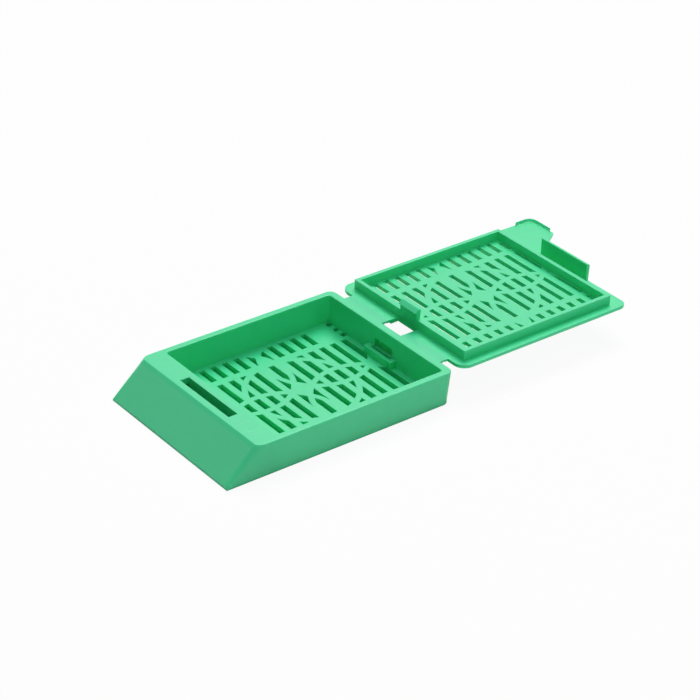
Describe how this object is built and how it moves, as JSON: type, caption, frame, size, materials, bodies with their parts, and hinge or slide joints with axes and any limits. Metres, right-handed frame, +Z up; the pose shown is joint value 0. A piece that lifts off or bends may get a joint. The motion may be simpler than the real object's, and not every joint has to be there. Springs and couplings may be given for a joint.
{
  "type": "tissue cassette",
  "caption": "Shallow moulded tissue cassette with a slanted writing face, a slotted grille floor and a hinged grille lid that is open flat on thin straps.",
  "frame": {"origin": "hub of the floor grille, on the plane that the box stands on", "axes": "+X from the writing face towards the hinge and the open lid, +Z up"},
  "size_m": [0.0801, 0.029, 0.0086],
  "materials": {
    "cassette_plastic": "satin"
  },
  "bodies": {
    "base": {"cassette_base": "cassette_plastic"},
    "lid": {"cassette_lid": "cassette_plastic"}
  },
  "joints": [
    {"name": "lid_hinge", "type": "hinge", "parent": "base", "child": "lid", "pos_m": [0.01705, 0, 0.00547], "axis": [0, -1, 0], "range_deg": [0, 180]}
  ]
}
